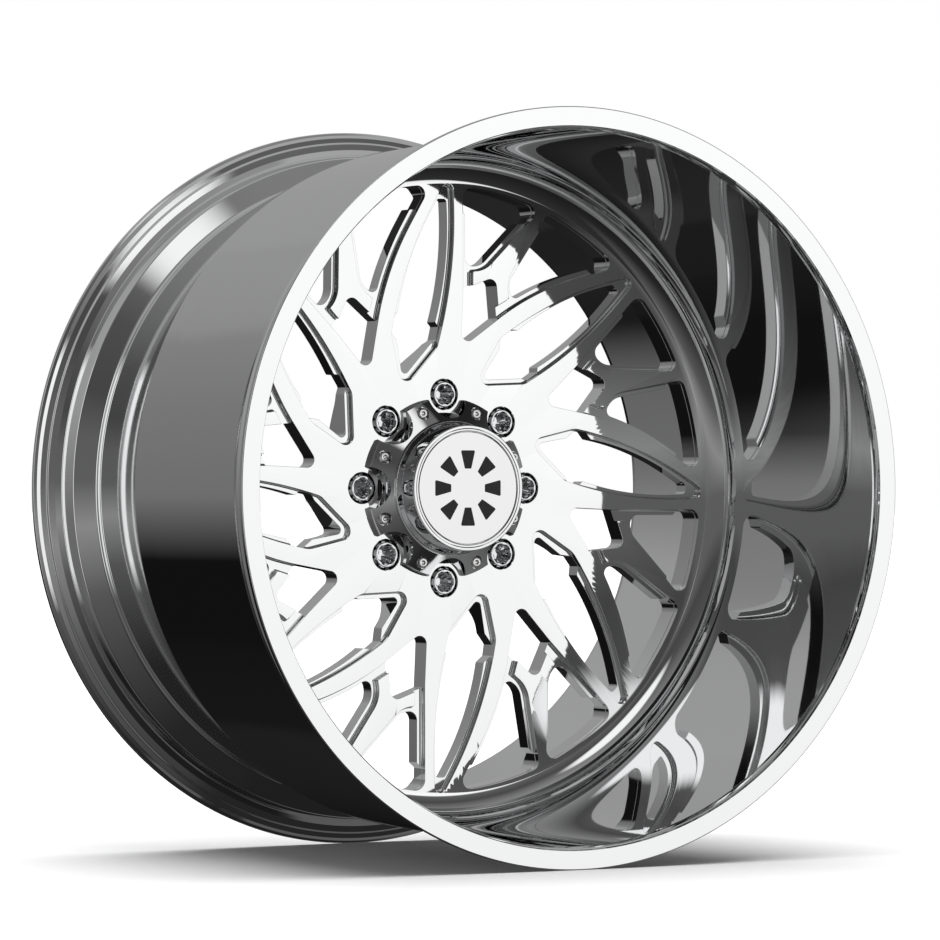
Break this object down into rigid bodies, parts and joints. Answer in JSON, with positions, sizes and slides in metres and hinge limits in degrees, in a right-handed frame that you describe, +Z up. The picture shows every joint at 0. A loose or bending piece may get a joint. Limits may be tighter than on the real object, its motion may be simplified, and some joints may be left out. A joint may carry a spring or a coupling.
{
  "type": "forged racing wheel",
  "caption": "Deep-dish forged wheel with a polished barrel, branching spokes set far back, flush splined lug nuts and a screwed centre cap.",
  "frame": {"origin": "on the wheel's axis, halfway between the two rim flanges: the centre of the bounding box", "axes": "+Y along the wheel's axis from the street face towards the vehicle, +Z up, +X to the right as seen from the street side"},
  "size_m": [0.644, 0.398, 0.644],
  "materials": {
    "forged_aluminium": "mirror polished",
    "spun_aluminium": "mirror polished, spun",
    "cap_aluminium": "polished",
    "satin_disc": "fine satin",
    "chromed_steel": "polished",
    "screw_steel": "polished stainless",
    "black_enamel": "enamel",
    "rubber": "matt",
    "brass": "plain"
  },
  "bodies": {
    "wheel": {"cap_medallion": "satin_disc", "cap_screw_1": "screw_steel", "cap_screw_2": "screw_steel", "cap_screw_3": "screw_steel", "cap_screw_4": "screw_steel", "cap_screw_5": "screw_steel", "cap_screw_6": "screw_steel", "cap_screw_7": "screw_steel", "cap_screw_8": "screw_steel", "cap_seal": "rubber", "cap_shell": "cap_aluminium", "inner_barrel": "spun_aluminium", "outer_lip": "spun_aluminium", "valve_core": "brass", "valve_nut": "chromed_steel", "valve_seal": "rubber", "valve_stem": "chromed_steel", "valve_washer": "screw_steel", "wheel_centre": "forged_aluminium"},
    "lug_nut_1": {"lug_nut_1": "chromed_steel"},
    "lug_nut_2": {"lug_nut_2": "chromed_steel"},
    "lug_nut_3": {"lug_nut_3": "chromed_steel"},
    "lug_nut_4": {"lug_nut_4": "chromed_steel"},
    "lug_nut_5": {"lug_nut_5": "chromed_steel"},
    "lug_nut_6": {"lug_nut_6": "chromed_steel"},
    "lug_nut_7": {"lug_nut_7": "chromed_steel"},
    "lug_nut_8": {"lug_nut_8": "chromed_steel"},
    "valve_cap": {"valve_cap": "chromed_steel"},
    "valve_core_pin": {"valve_core_pin": "brass"}
  },
  "joints": [
    {"name": "lug_nut_1_turn", "type": "hinge", "parent": "wheel", "child": "lug_nut_1", "pos_m": [0, 0.045, 0.08255], "axis": [0, 1, 0], "continuous": true},
    {"name": "lug_nut_2_turn", "type": "hinge", "parent": "wheel", "child": "lug_nut_2", "pos_m": [0.05837, 0.045, 0.05837], "axis": [0, 1, 0], "continuous": true},
    {"name": "lug_nut_3_turn", "type": "hinge", "parent": "wheel", "child": "lug_nut_3", "pos_m": [0.08255, 0.045, 0], "axis": [0, 1, 0], "continuous": true},
    {"name": "lug_nut_4_turn", "type": "hinge", "parent": "wheel", "child": "lug_nut_4", "pos_m": [0.05837, 0.045, -0.05837], "axis": [0, 1, 0], "continuous": true},
    {"name": "lug_nut_5_turn", "type": "hinge", "parent": "wheel", "child": "lug_nut_5", "pos_m": [0, 0.045, -0.08255], "axis": [0, 1, 0], "continuous": true},
    {"name": "lug_nut_6_turn", "type": "hinge", "parent": "wheel", "child": "lug_nut_6", "pos_m": [-0.05837, 0.045, -0.05837], "axis": [0, 1, 0], "continuous": true},
    {"name": "lug_nut_7_turn", "type": "hinge", "parent": "wheel", "child": "lug_nut_7", "pos_m": [-0.08255, 0.045, 0], "axis": [0, 1, 0], "continuous": true},
    {"name": "lug_nut_8_turn", "type": "hinge", "parent": "wheel", "child": "lug_nut_8", "pos_m": [-0.05837, 0.045, 0.05837], "axis": [0, 1, 0], "continuous": true},
    {"name": "valve_cap_turn", "type": "hinge", "parent": "wheel", "child": "valve_cap", "pos_m": [0.25641, 0.06879, -0.01681], "axis": [0.9827, 0.1736, -0.0644], "continuous": true},
    {"name": "valve_pin_press", "type": "slide", "parent": "wheel", "child": "valve_core_pin", "axis": [0.9827, 0.1736, -0.0644], "range_m": [0, 0.0008], "stiffness_N_per_m": 2000, "springref_m": -0.0002}
  ]
}
